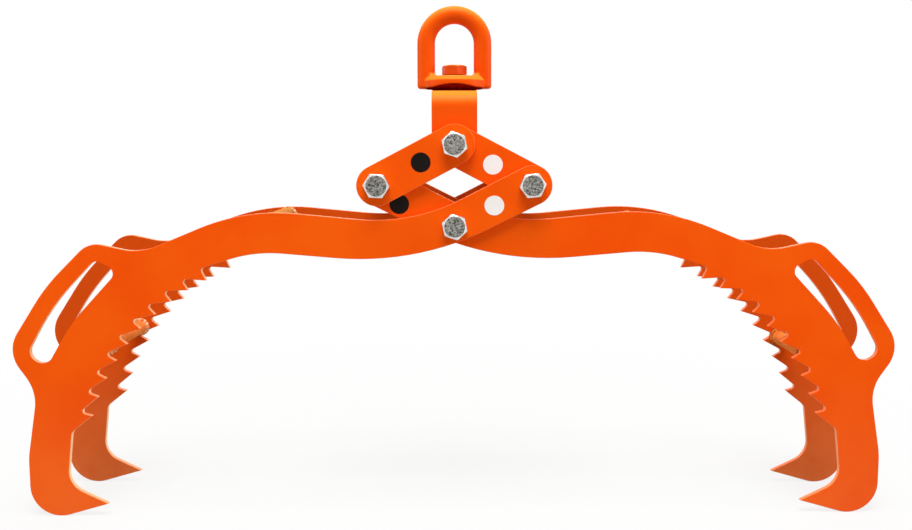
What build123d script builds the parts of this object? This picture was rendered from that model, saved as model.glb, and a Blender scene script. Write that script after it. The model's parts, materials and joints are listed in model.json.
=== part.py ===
from build123d import *
import math
import os

# Log tongs: two pairs of toothed claw plates crossed on a centre bolt, hung
# from four links, a bent strap hanger and a swivelling lifting ring.
# Millimetres. X runs across the jaws, Y from front to back, Z up. The tongs
# stand open on the heels of their claws, and the swivel axis is the Z axis.

# Plates and the layers they lie in
PLATE_T = 6.0
LAYER_GAP = 0.5
PACK_DEPTH = 119.0
EDGE_BREAK = 0.5

# Scissor linkage: four pivots at the corners of an equal-sided rhombus
PIVOT_SPAN = 90.0
REST_TILT = 27.7
LINK_W = 42.0
ARM_END_R = 20.5

# Claw arm outline, from the centre pivot: (reach, height, rounding)
ARM_TOP_EDGE = [
    (44.0, 2.0, 195.0),
    (215.0, 18.4, 210.0),
    (324.5, -27.0, 60.0),
    (377.0, -15.4, 25.0),
]
GRIP_EDGE = [
    (424.0, -62.0, 200.0),
    (467.4, -129.2, 33.0),
    (437.7, -172.4, 45.0),
]
CLAW_BACK = (449.5, -243.0, 80.0)
HEEL_R = 32.0
HEEL_LOW = 306.6
CLAW_TIP = (367.3, -293.7, 0.0)
CLAW_THROAT = (409.3, -273.0, 24.0)
THROAT_TOP_BEHIND = 17.2
THROAT_TOP_R = 8.0
ARM_BELLY = [(206.0, -25.4, 140.0), (39.6, -39.6, 300.0)]

# Teeth: radial walls on an arc around a point inside the log
TOOTH_ARC_X = 158.9
TOOTH_ARC_Z = -265.3
TOOTH_ARC_R = 231.7
TOOTH_COUNT = 10
TOOTH_FIRST = 64.9
TOOTH_PITCH = 5.35
TOOTH_DEPTH = 13.6
TOOTH_ROOT_R = 3.0

# Hand slot behind the grip edge: (reach, height, rounding)
HAND_SLOT = [
    (371.1, -33.2, 9.0),
    (418.8, -82.8, 250.0),
    (446.7, -134.2, 11.5),
    (425.9, -146.2, 11.5),
    (398.9, -100.6, 200.0),
    (351.8, -49.8, 8.0),
    (355.0, -42.2, 6.0),
]

# Cross bars welded between the two plates of a pair: the upper ones at a
# (reach, height) place, the lower ones behind the tooth tips on their arc
CROSS_BAR_D = 15.0
LEFT_UPPER_BAR_AT = (189.0, 6.5)
RIGHT_UPPER_BAR_AT = (194.0, 1.0)
LEFT_LOWER_BAR_TURN = 34.9
RIGHT_LOWER_BAR_TURN = 31.5
LOWER_BAR_BEHIND = 16.0

# Pivot bolts with hexagon heads, nylon ring lock nuts and spacer tubes
BOLT_D = 16.0
HEX_AF = 24.0
HEAD_H = 10.0
HEX_CHAMFER = 1.0
HEX_CHAMFER_ANGLE = 30.0
THREAD_CHAMFER = 1.2
NUT_HEX_H = 13.0
NUT_COLLAR_H = 3.0
COLLAR_WALL = 1.0
INSERT_WALL = 2.4
BOLT_END = 2.5
SPACER_WALL = 3.5
TOP_HEAD_TURN = 42.0
CENTRE_HEAD_TURN = 42.0
LEFT_HEAD_TURN = -3.0
RIGHT_HEAD_TURN = 6.0

# Fits: radial round a turning bolt, in the left links' wider top holes, in
# a fixed stack, and along the bolt under heads and nuts
PIVOT_CLEAR = 0.08
OPEN_CLEAR = 0.40
STACK_CLEAR = 0.05
SEAT_GAP = 0.15

# Hanger: flat bar bent to a U over the top pivot
HANGER_W = 47.0
HANGER_T = 8.0
HANGER_RISE = 55.7
HANGER_BEND_R = 9.0

# Swivel ring: round bar bowed over a drilled boss, with a bearing hub under it
RING_W = 79.0
RING_H = 87.0
RING_BAR = 19.0
RING_BASE_H = 13.0
RING_FOOT_R = 3.0
BOSS_D = 66.0
BOSS_EDGE_R = 4.5
HUB_D = 47.0
HUB_H = 3.0
SWIVEL_GAP = 0.3
SWIVEL_WASHER_D = 22.5
SWIVEL_WASHER_T = 1.6
SWIVEL_HEAD_TURN = -15.0

# Round match marks on links and arms, and their places along the plates
DOT_D = 20.2
DOT_T = 0.15
LEFT_LINK_DOT_AT = (39.0, 0.0)
RIGHT_LINK_DOT_AT = (44.5, 0.0)
LEFT_ARM_DOT_AT = (46.0, 0.0)
RIGHT_ARM_DOT_AT = (61.0, -6.5)

# Pivot places, worked out from the linkage
half_width = PIVOT_SPAN * math.cos(math.radians(REST_TILT))
half_height = PIVOT_SPAN * math.sin(math.radians(REST_TILT))
centre_z = HEEL_LOW
side_z = centre_z + half_height
top_z = side_z + half_height
CENTRE = (0.0, centre_z)
TOP = (0.0, top_z)
LEFT_PIVOT = (-half_width, side_z)
RIGHT_PIVOT = (half_width, side_z)

# Layer places along Y: front faces of the front plates, inner faces behind
front_face = -PACK_DEPTH / 2
layer_step = PLATE_T + LAYER_GAP
outer_layer = front_face
inner_layer = front_face + layer_step
hanger_face = front_face + 2 * layer_step
outer_inside = -(outer_layer + PLATE_T)
inner_inside = -(inner_layer + PLATE_T)
hanger_outside = -hanger_face
hanger_inside = hanger_outside - HANGER_T

bolt_r = BOLT_D / 2
nut_h = NUT_HEX_H + NUT_COLLAR_H


def rounded_edges(points, closed=True):
    """Straight edges through (x, z, rounding) points with tangent corner arcs, in the XZ plane."""
    count = len(points)
    runs = []
    for i in range(count):
        x, z, radius = points[i]
        here = Vector(x, 0, z)
        at_end = not closed and i in (0, count - 1)
        if at_end or radius == 0:
            runs.append((here, None, here))
            continue
        before = Vector(points[i - 1][0], 0, points[i - 1][1])
        after = Vector(points[(i + 1) % count][0], 0, points[(i + 1) % count][1])
        back = (before - here).normalized()
        ahead = (after - here).normalized()
        half = math.radians(back.get_angle(ahead)) / 2
        reach = radius / math.tan(half)
        middle = here + (back + ahead).normalized() * (radius / math.sin(half) - radius)
        runs.append((here + back * reach, middle, here + ahead * reach))
    edges = []
    for i in range(count):
        start, middle, end = runs[i]
        if middle is not None:
            edges.append(ThreePointArc(start, middle, end))
        if i + 1 < count or closed:
            edges.append(Line(end, runs[(i + 1) % count][0]))
    return edges


def rod(at, y0, y1, radius):
    """Round bar along Y from y0 to y1 at an (x, z) place."""
    return Pos(at[0], (y0 + y1) / 2, at[1]) * Rot(X=90) * Cylinder(radius, y1 - y0)


def plate(edges, y0):
    """Flat plate cut to a closed outline, with its sharp edges broken."""
    blank = extrude(Face(Wire(edges)), amount=PLATE_T, dir=(0, 1, 0))
    blank = chamfer(blank.faces().filter_by(Axis.Y).edges(), EDGE_BREAK)
    return Pos(0, y0, 0) * blank


def both_sides(y0, thickness):
    """Front faces of a layer's front plate and of the rear plate that mirrors it."""
    return y0, -y0 - thickness


def drill(solid, at, clear):
    """Cut a bolt hole right through along Y."""
    return solid - rod(at, -PACK_DEPTH, PACK_DEPTH, bolt_r + clear)


# Claw arms


def tooth_arc_point(turn, behind):
    """(reach, height) at an angle on the arc of the tooth tips, or a distance behind it."""
    radius = TOOTH_ARC_R + behind
    angle = math.radians(turn)
    return TOOTH_ARC_X + radius * math.cos(angle), TOOTH_ARC_Z + radius * math.sin(angle)


def tooth_points():
    """Root and tip of each tooth, from the arm's belly down to the claw."""
    points = []
    for i in range(TOOTH_COUNT):
        turn = TOOTH_FIRST - i * TOOTH_PITCH
        points.append((*tooth_arc_point(turn, TOOTH_DEPTH), TOOTH_ROOT_R))
        points.append((*tooth_arc_point(turn, 0.0), 0.0))
    return points


def heel_corner():
    """Sharp corner whose rounding is the heel that the claw stands on."""
    back_x = CLAW_BACK[0]
    centre_x = back_x - HEEL_R
    centre_h = HEEL_R - HEEL_LOW
    away_x = centre_x - CLAW_TIP[0]
    away_z = centre_h - CLAW_TIP[1]
    distance = math.hypot(away_x, away_z)
    slope = math.atan2(away_z, away_x) - math.asin(HEEL_R / distance)
    corner_z = CLAW_TIP[1] + (back_x - CLAW_TIP[0]) * math.tan(slope)
    return (back_x, corner_z, HEEL_R)


def tangent_point(corner, centre, radius, side):
    """Where a line from a corner touches a circle, on the upper (1) or lower (-1) side."""
    away_x = corner[0] - centre[0]
    away_z = corner[1] - centre[1]
    turn = math.acos(radius / math.hypot(away_x, away_z))
    angle = math.atan2(away_z, away_x) + side * turn
    return (centre[0] + radius * math.cos(angle), centre[1] + radius * math.sin(angle), 0.0)


def arm_edges(side):
    """Outline of a claw arm. Side is -1 for the left arm and 1 for the right arm."""
    end = (-half_width, half_height)
    top_start = tangent_point(ARM_TOP_EDGE[0], end, ARM_END_R, 1)
    low_end = tangent_point(ARM_BELLY[-1], end, ARM_END_R, -1)
    across = math.hypot(top_start[0] + low_end[0] - 2 * end[0], top_start[1] + low_end[1] - 2 * end[1])
    away_x = (2 * end[0] - top_start[0] - low_end[0]) / across
    away_z = (2 * end[1] - top_start[1] - low_end[1]) / across
    teeth = list(reversed(tooth_points()))
    throat_top = tooth_arc_point(TOOTH_FIRST - TOOTH_COUNT * TOOTH_PITCH, THROAT_TOP_BEHIND)
    claw = [CLAW_BACK, heel_corner(), CLAW_TIP, CLAW_THROAT, (*throat_top, THROAT_TOP_R)]
    path = [top_start] + ARM_TOP_EDGE + GRIP_EDGE + claw + teeth + ARM_BELLY + [low_end]
    placed = [(side * x, z + centre_z, rounding) for x, z, rounding in path]
    edges = rounded_edges(placed, closed=False)
    first = Vector(placed[0][0], 0, placed[0][1])
    last = Vector(placed[-1][0], 0, placed[-1][1])
    middle_x = side * (end[0] + ARM_END_R * away_x)
    middle = Vector(middle_x, 0, end[1] + ARM_END_R * away_z + centre_z)
    return edges + [ThreePointArc(last, middle, first)]


def arm_pair(side, layer, end_pivot):
    """Front and rear plate of one claw arm, slotted for the hand and drilled."""
    slot_points = [(side * x, z + centre_z, rounding) for x, z, rounding in HAND_SLOT]
    slot = extrude(Face(Wire(rounded_edges(slot_points))), amount=3 * PLATE_T, dir=(0, 1, 0))
    arms = []
    for y0 in both_sides(layer, PLATE_T):
        arm = plate(arm_edges(side), y0) - Pos(0, y0 - PLATE_T, 0) * slot
        arms.append(drill(drill(arm, CENTRE, PIVOT_CLEAR), end_pivot, PIVOT_CLEAR))
    return arms


def cross_bar(side, place, inside):
    """Round bar between the inner faces of one pair of arms."""
    return rod((side * place[0], centre_z + place[1]), -inside, inside, CROSS_BAR_D / 2)


# Links and match marks


def link_pair(lower, layer, top_clear):
    """Front and rear link from the top pivot to a side pivot."""
    middle = Vector((TOP[0] + lower[0]) / 2, 0, (TOP[1] + lower[1]) / 2)
    tilt = math.degrees(math.atan2(TOP[1] - lower[1], TOP[0] - lower[0]))
    half = PIVOT_SPAN / 2
    radius = LINK_W / 2
    upper_line = Line((-half, 0, radius), (half, 0, radius))
    right_end = ThreePointArc((half, 0, radius), (half + radius, 0, 0), (half, 0, -radius))
    lower_line = Line((half, 0, -radius), (-half, 0, -radius))
    left_end = ThreePointArc((-half, 0, -radius), (-half - radius, 0, 0), (-half, 0, radius))
    blank = plate([upper_line, right_end, lower_line, left_end], 0.0)
    links = []
    for y0 in both_sides(layer, PLATE_T):
        link = Pos(middle.X, y0, middle.Z) * Rot(Y=-tilt) * blank
        links.append(drill(drill(link, TOP, top_clear), lower, PIVOT_CLEAR))
    return links


def match_mark(start, end, place, y0):
    """Thin round mark on a plate's front face, placed along and across a pivot line."""
    length = math.hypot(end[0] - start[0], end[1] - start[1])
    along = ((end[0] - start[0]) / length, (end[1] - start[1]) / length)
    upward = 1.0 if along[0] > 0 else -1.0
    across = (-along[1] * upward, along[0] * upward)
    x = start[0] + along[0] * place[0] + across[0] * place[1]
    z = start[1] + along[1] * place[0] + across[1] * place[1]
    return rod((x, z), y0 - DOT_T, y0, DOT_D / 2)


# Fasteners, made along +Z and then turned into place


def hexagon(height):
    """Hexagon prism standing on the XY plane, with two corners along X."""
    return extrude(RegularPolygon(HEX_AF / 2, 6, major_radius=False), amount=height)


def corner_chamfer(height):
    """Cone that takes the corners off a hexagon's upper face."""
    flat_r = HEX_AF / 2 - HEX_CHAMFER
    slope = math.tan(math.radians(HEX_CHAMFER_ANGLE))
    return Pos(0, 0, height / 2) * Cone(flat_r + height / slope, flat_r, height)


def hex_bolt(grip):
    """Bolt with its head's seat on the XY plane, head up and shank down."""
    head = hexagon(HEAD_H) & corner_chamfer(HEAD_H)
    shank = Pos(0, 0, -grip / 2) * Cylinder(bolt_r, grip)
    shank = chamfer(shank.edges().sort_by(Axis.Z)[0], THREAD_CHAMFER)
    return head + shank


def lock_nut():
    """Lock nut standing on the XY plane, with a collar for its nylon ring."""
    insert_r = bolt_r + STACK_CLEAR + INSERT_WALL
    nut = hexagon(NUT_HEX_H) & corner_chamfer(NUT_HEX_H)
    nut += Pos(0, 0, nut_h / 2) * Cylinder(insert_r + COLLAR_WALL, nut_h)
    nut -= Pos(0, 0, nut_h / 2) * Cylinder(bolt_r + STACK_CLEAR, 2 * nut_h)
    return nut - Pos(0, 0, nut_h) * Cylinder(insert_r, 2 * NUT_COLLAR_H)


def nut_insert():
    """Nylon ring in the collar of a lock nut."""
    ring = Cylinder(bolt_r + INSERT_WALL, NUT_COLLAR_H - SEAT_GAP)
    ring -= Cylinder(bolt_r + STACK_CLEAR, 2 * NUT_COLLAR_H)
    return Pos(0, 0, NUT_HEX_H + NUT_COLLAR_H / 2) * ring


def pivot_set(at, inside, head_turn):
    """Bolt, lock nut, nylon ring and spacer tube of one pivot, head to the front."""
    front = front_face - SEAT_GAP
    rear = -front
    grip = rear - front + nut_h + BOLT_END
    to_front = Pos(at[0], front, at[1]) * Rot(X=90) * Rot(Z=head_turn)
    to_rear = Pos(at[0], rear, at[1]) * Rot(X=-90) * Rot(Z=head_turn)
    length = inside - SEAT_GAP
    spacer = rod(at, -length, length, bolt_r + STACK_CLEAR + SPACER_WALL)
    spacer -= rod(at, -PACK_DEPTH, PACK_DEPTH, bolt_r + STACK_CLEAR)
    return to_front * hex_bolt(grip), to_rear * lock_nut(), to_rear * nut_insert(), spacer


# Hanger and swivel


def hanger_strap():
    """Flat bar bent to a U, with round ends about the top pivot and its sharp edges broken."""
    top = top_z + HANGER_RISE
    foot = top_z - HANGER_W
    outer_r = HANGER_BEND_R + HANGER_T
    outside = [(-1, foot, 0.0), (-1, top, outer_r), (1, top, outer_r), (1, foot, 0.0)]
    inner_top = top - HANGER_T
    inside = [(1, foot, 0.0), (1, inner_top, HANGER_BEND_R), (-1, inner_top, HANGER_BEND_R), (-1, foot, 0.0)]
    points = [(side * hanger_outside, z, rounding) for side, z, rounding in outside]
    points += [(side * hanger_inside, z, rounding) for side, z, rounding in inside]
    profile = Rot(Z=90) * Face(Wire(rounded_edges(points)))
    strap = extrude(profile, amount=HANGER_W / 2, dir=(1, 0, 0), both=True)
    radius = HANGER_W / 2
    sides = Pos(0, 0, (top_z + top) / 2) * Box(HANGER_W, PACK_DEPTH, top - top_z)
    strap &= sides + rod(TOP, -PACK_DEPTH / 2, PACK_DEPTH / 2, radius)
    strap = chamfer(strap.edges(), EDGE_BREAK)
    strap = drill(strap, TOP, PIVOT_CLEAR)
    return strap - Pos(0, 0, top) * Cylinder(bolt_r + STACK_CLEAR, 3 * HANGER_T)


def swivel_ring(base_z):
    """Bowed round bar on a drilled boss, facing the front, with the boss at base_z and its hub below."""
    bar_r = RING_BAR / 2
    bow_r = RING_W / 2 - bar_r
    bow_z = base_z + RING_H - RING_W / 2
    bow = Pos(0, 0, bow_z) * Rot(X=90) * Torus(bow_r, bar_r)
    bow &= Pos(0, 0, bow_z + RING_W / 2) * Box(2 * RING_W, 2 * RING_BAR, RING_W)
    leg_h = bow_z - base_z
    legs = [Pos(x, 0, base_z + leg_h / 2) * Cylinder(bar_r, leg_h) for x in (-bow_r, bow_r)]
    legs = [fillet(leg.edges().sort_by(Axis.Z)[0], RING_FOOT_R) for leg in legs]
    foot = Pos(0, 0, base_z + RING_BASE_H / 2) * Box(2 * bow_r, RING_BAR, RING_BASE_H)
    foot = fillet(foot.edges().filter_by(Axis.X), RING_FOOT_R)
    boss = Pos(0, 0, base_z + RING_BASE_H / 2) * Cylinder(BOSS_D / 2, RING_BASE_H)
    boss = fillet(boss.edges().filter_by(GeomType.CIRCLE), BOSS_EDGE_R)
    hub = Pos(0, 0, base_z - HUB_H / 2) * Cylinder(HUB_D / 2, HUB_H)
    ring = bow + legs[0] + legs[1] + foot + boss + hub
    return ring - Pos(0, 0, base_z) * Cylinder(bolt_r + PIVOT_CLEAR, 4 * RING_BASE_H)


def swivel_set(base_z):
    """Bolt, washer, lock nut and nylon ring that hold the ring on the hanger."""
    washer_z = base_z + RING_BASE_H + SWIVEL_GAP
    head_z = washer_z + SWIVEL_WASHER_T
    washer = Pos(0, 0, washer_z + SWIVEL_WASHER_T / 2) * Cylinder(SWIVEL_WASHER_D / 2, SWIVEL_WASHER_T)
    washer -= Pos(0, 0, washer_z) * Cylinder(bolt_r + STACK_CLEAR, 4 * SWIVEL_WASHER_T)
    nut_z = top_z + HANGER_RISE - HANGER_T
    bolt = Pos(0, 0, head_z) * Rot(Z=SWIVEL_HEAD_TURN) * hex_bolt(head_z - nut_z + nut_h + BOLT_END)
    to_nut = Pos(0, 0, nut_z) * Rot(X=180)
    return bolt, washer, to_nut * lock_nut(), to_nut * nut_insert()


# Assembly: every piece under its own name

parts = {}

left_arms = arm_pair(-1, outer_layer, RIGHT_PIVOT)
right_arms = arm_pair(1, inner_layer, LEFT_PIVOT)
left_links = link_pair(LEFT_PIVOT, outer_layer, OPEN_CLEAR)
right_links = link_pair(RIGHT_PIVOT, inner_layer, PIVOT_CLEAR)
for i, place in enumerate(("front", "rear")):
    parts[f"left_{place}_arm"] = left_arms[i]
    parts[f"right_{place}_arm"] = right_arms[i]
    parts[f"left_{place}_link"] = left_links[i]
    parts[f"right_{place}_link"] = right_links[i]

left_lower_at = tooth_arc_point(LEFT_LOWER_BAR_TURN, LOWER_BAR_BEHIND)
right_lower_at = tooth_arc_point(RIGHT_LOWER_BAR_TURN, LOWER_BAR_BEHIND)
parts["left_upper_cross_bar"] = cross_bar(-1, LEFT_UPPER_BAR_AT, outer_inside)
parts["left_lower_cross_bar"] = cross_bar(-1, left_lower_at, outer_inside)
parts["right_upper_cross_bar"] = cross_bar(1, RIGHT_UPPER_BAR_AT, inner_inside)
parts["right_lower_cross_bar"] = cross_bar(1, right_lower_at, inner_inside)

PIVOTS = {
    "top": (TOP, hanger_inside, TOP_HEAD_TURN),
    "left": (LEFT_PIVOT, inner_inside, LEFT_HEAD_TURN),
    "right": (RIGHT_PIVOT, inner_inside, RIGHT_HEAD_TURN),
    "centre": (CENTRE, inner_inside, CENTRE_HEAD_TURN),
}
for name, (at, inside, head_turn) in PIVOTS.items():
    bolt, nut, insert, spacer = pivot_set(at, inside, head_turn)
    parts[f"{name}_pivot_bolt"] = bolt
    parts[f"{name}_lock_nut"] = nut
    parts[f"{name}_nut_insert"] = insert
    parts[f"{name}_spacer_tube"] = spacer

parts["left_link_mark"] = match_mark(TOP, LEFT_PIVOT, LEFT_LINK_DOT_AT, outer_layer)
parts["right_link_mark"] = match_mark(TOP, RIGHT_PIVOT, RIGHT_LINK_DOT_AT, inner_layer)
parts["left_arm_mark"] = match_mark(CENTRE, RIGHT_PIVOT, LEFT_ARM_DOT_AT, outer_layer)
parts["right_arm_mark"] = match_mark(CENTRE, LEFT_PIVOT, RIGHT_ARM_DOT_AT, inner_layer)

ring_z = top_z + HANGER_RISE + SWIVEL_GAP + HUB_H
parts["hanger"] = hanger_strap()
parts["swivel_ring"] = swivel_ring(ring_z)
bolt, washer, nut, insert = swivel_set(ring_z)
parts["swivel_bolt"] = bolt
parts["swivel_washer"] = washer
parts["swivel_lock_nut"] = nut
parts["swivel_nut_insert"] = insert

os.makedirs("parts", exist_ok=True)
for name, shape in parts.items():
    export_step(shape, f"parts/{name}.step")
print(len(parts), "pieces")
print("pivots", CENTRE, LEFT_PIVOT, RIGHT_PIVOT, TOP, "ring base", ring_z)
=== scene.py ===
# %% [markdown]
# Log tongs in Blender: a lesson in cells.
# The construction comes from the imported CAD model, which is loaded here as a
# fixed frame in metres. This script adds what the eye sees: paint, zinc, weld
# beads, a forged ring, threads, a floor, light and a camera.

# %% Load the frame
import json
import math

import bmesh
import bpy
import numpy as np
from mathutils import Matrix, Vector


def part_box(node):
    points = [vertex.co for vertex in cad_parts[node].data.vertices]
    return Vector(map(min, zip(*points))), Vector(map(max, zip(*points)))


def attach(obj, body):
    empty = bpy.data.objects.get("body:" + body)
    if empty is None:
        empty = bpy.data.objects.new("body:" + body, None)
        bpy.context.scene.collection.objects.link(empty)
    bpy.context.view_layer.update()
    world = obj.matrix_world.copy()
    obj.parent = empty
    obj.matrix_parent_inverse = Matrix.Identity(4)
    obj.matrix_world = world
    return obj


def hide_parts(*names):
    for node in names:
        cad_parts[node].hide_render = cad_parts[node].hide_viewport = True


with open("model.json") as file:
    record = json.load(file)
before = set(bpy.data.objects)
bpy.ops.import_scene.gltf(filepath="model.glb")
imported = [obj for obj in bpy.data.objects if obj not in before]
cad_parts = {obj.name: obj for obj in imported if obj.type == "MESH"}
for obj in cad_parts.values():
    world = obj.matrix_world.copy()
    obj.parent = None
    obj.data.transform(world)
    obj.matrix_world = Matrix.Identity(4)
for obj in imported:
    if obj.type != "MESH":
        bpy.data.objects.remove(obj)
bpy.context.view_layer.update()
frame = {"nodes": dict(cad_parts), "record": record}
nodes = frame["nodes"]

# %% [markdown]
# Colours are written as sRGB hex values, as a colour picker gives them, and
# one function turns them to the linear light that Blender's sockets want.
# Lengths are written in millimetres, and MM turns them to metres.

# %% Units and colours
MM = 0.001


def linear(hex_colour):
    """Linear RGBA from an sRGB hex value: the sRGB curve undone for each channel."""
    channels = [int(hex_colour[i:i + 2], 16) / 255 for i in (1, 3, 5)]
    light = [c / 12.92 if c <= 0.04045 else ((c + 0.055) / 1.055) ** 2.4 for c in channels]
    return (*light, 1.0)


def grains(size_mm):
    """Noise scale that makes spots about size_mm across in object space."""
    return 1.0 / (size_mm * MM)


print("middle grey in linear light:", round(linear("#808080")[0], 3))
print("noise scale for spots of 3 mm:", round(grains(3)))

# %% [markdown]
# A material is a tree of shader nodes. Written out in full, each node takes
# several lines. So one function adds any node, with its settings, its fixed
# values and the links that feed it, and a material reads as a short list.

# %% The node helper
# Blender's noise seldom leaves this band, which is stretched to the full range.
NOISE_BAND = {"From Min": 0.35, "From Max": 0.65}
BUMP_DEPTH = 0.1 * MM


def add(tree, kind, values=None, links=None, **settings):
    """Add a node: settings are its properties, values its sockets, links what feeds its sockets."""
    node = tree.nodes.new("ShaderNode" + kind)
    for name, value in settings.items():
        setattr(node, name, value)
    for socket, value in (values or {}).items():
        node.inputs[socket].default_value = value
    for socket, source in (links or {}).items():
        tree.links.new(source, node.inputs[socket])
    return node


def new_material(name):
    """An empty node material, its tree and the output that its shader goes to."""
    material = bpy.data.materials.new(name)
    material.use_nodes = True
    tree = material.node_tree
    tree.nodes.clear()
    return material, tree, tree.nodes.new("ShaderNodeOutputMaterial")


print("noise is read from", *NOISE_BAND.values())

# %% [markdown]
# Arms, links, hanger and ring are mild steel with an orange powder coat, and it isn't one even orange.
# Plate faces that look into the gap between the front and the rear set are darker, which is painted
# shade. Cut edges are pale, which is a painted highlight, most on the working edges and on the left
# claw. The heels are paler, which is painted light from the floor, and upward faces of the ring and the
# hanger are paler and yellower, which is a painted highlight. All this could be painted by hand on a
# texture. Here a few nodes work out a share from 0 to 1 for each effect, from where a face is and where
# it looks, so that it stays sharp at any size.

# %% Where painted shade and painted light go on the coat
CUT_NORMAL = {"From Min": 0.85, "From Max": 0.30}
TOP_HIGHLIGHT_NORMAL = {"From Min": 0.15, "From Max": 0.85, "To Max": 0.60}
OUTER_EDGE = 0.25
UPWARD_EDGE = 0.35
RIGHT_EDGE = 0.45
EDGE_BLEND = 50 * MM
SIDE_BLEND = 100 * MM
HEEL_LIGHT_TOP = 150 * MM
HEEL_LIGHT_PATCH_MM = 30
HEEL_LIGHT_OUTSIDE = 0.14
HEEL_LIGHT_INSIDE = 0.38


def reduced(tree, share, *ranges):
    """The share times one factor for each range: its value, mapped between its ends."""
    for ends, value in ranges:
        factor = add(tree, "MapRange", ends, {"Value": value}).outputs[0]
        share = add(tree, "Math", links={0: share, 1: factor}, operation="MULTIPLY").outputs[0]
    return share


def inner_face_share(tree, place, facing):
    """1 on plate faces that look into the gap between the front and rear sets, and 0 elsewhere. It
    places the painted shade.

    There y and the normal's y have different signs, so that their product is under 0.
    """
    outward = add(tree, "Math", links={0: place["Y"], 1: facing["Y"]}, operation="MULTIPLY")
    return add(tree, "Math", {1: 0.0}, {0: outward.outputs[0]}, operation="LESS_THAN").outputs[0]


def edge_highlight_share(tree, place, facing):
    """How strong the painted highlight on a cut face of a plate is, and 0 on the plate's flats, which
    lie square to Y.

    It is 1 on the working edges, which look towards the middle, so that x times the normal's
    x is under 0. It is less on the outer edges, where an edge looks up, and on the right claw.
    """
    flat = add(tree, "Math", links={0: facing["Y"]}, operation="ABSOLUTE").outputs[0]
    cut = add(tree, "MapRange", CUT_NORMAL, {"Value": flat}).outputs[0]
    outward = add(tree, "Math", links={0: place["X"], 1: facing["X"]}, operation="MULTIPLY")
    working = {"From Min": EDGE_BLEND, "From Max": -EDGE_BLEND, "To Min": OUTER_EDGE}
    upward = {"To Min": 1.0, "To Max": UPWARD_EDGE}
    side = {"From Min": -SIDE_BLEND, "From Max": SIDE_BLEND, "To Min": 1.0, "To Max": RIGHT_EDGE}
    values = (outward.outputs[0], facing["Z"], place["X"])
    return reduced(tree, cut, *zip((working, upward, side), values))


def heel_light_share(tree, where, place, inner):
    """Painted light: 0 from HEEL_LIGHT_TOP upwards, rising to a pale cover at the heels, more on inner
    faces.

    Noise breaks it up to between half and one and a half times as much.
    """
    heel = {"From Min": HEEL_LIGHT_TOP, "From Max": 0.0}
    low = add(tree, "MapRange", heel, {"Value": place["Z"]}).outputs[0]
    heel_breakup = add(tree, "TexNoise", {"Scale": grains(HEEL_LIGHT_PATCH_MM), "Detail": 3.0}, {"Vector": where})
    broken = {"To Min": 0.5, "To Max": 1.5}
    most = {"To Min": HEEL_LIGHT_OUTSIDE, "To Max": HEEL_LIGHT_INSIDE}
    return reduced(tree, low, (broken, heel_breakup.outputs["Fac"]), (most, inner))


def top_highlight_share(tree, facing):
    """Painted highlight: 0 on upright faces, rising to a part cover on faces that look at the sky."""
    return add(tree, "MapRange", TOP_HIGHLIGHT_NORMAL, {"Value": facing["Z"]}).outputs[0]


print("pale edges: outer", OUTER_EDGE, "upward", UPWARD_EDGE, "right claw", RIGHT_EDGE)

# %% [markdown]
# Powder flows out in the oven to a satin skin with a faint orange peel. The peel is really about a
# millimetre across, less than a pixel here, so it is drawn at 3 mm. Slow clouds of a deeper orange keep
# large plates from looking like flat card, and a low specular level keeps the colour saturated. The
# ring and the hanger have a slightly darker copy of the plates' orange, and the swivel bolt a darker
# and browner one, which is painted shade.

# %% Orange powder coat
COAT_PAINTED_SHADE = "#D6500E"
COAT_PAINTED_HEEL_LIGHT = "#FF9C5C"
COAT_PAINTED_EDGE_HIGHLIGHT = "#FFD0A0"
COAT_PAINTED_TOP_HIGHLIGHT = "#FFA034"
CLOUD_MM = 90
PEEL_MM = 3
GLOSS_MM = 25


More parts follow.
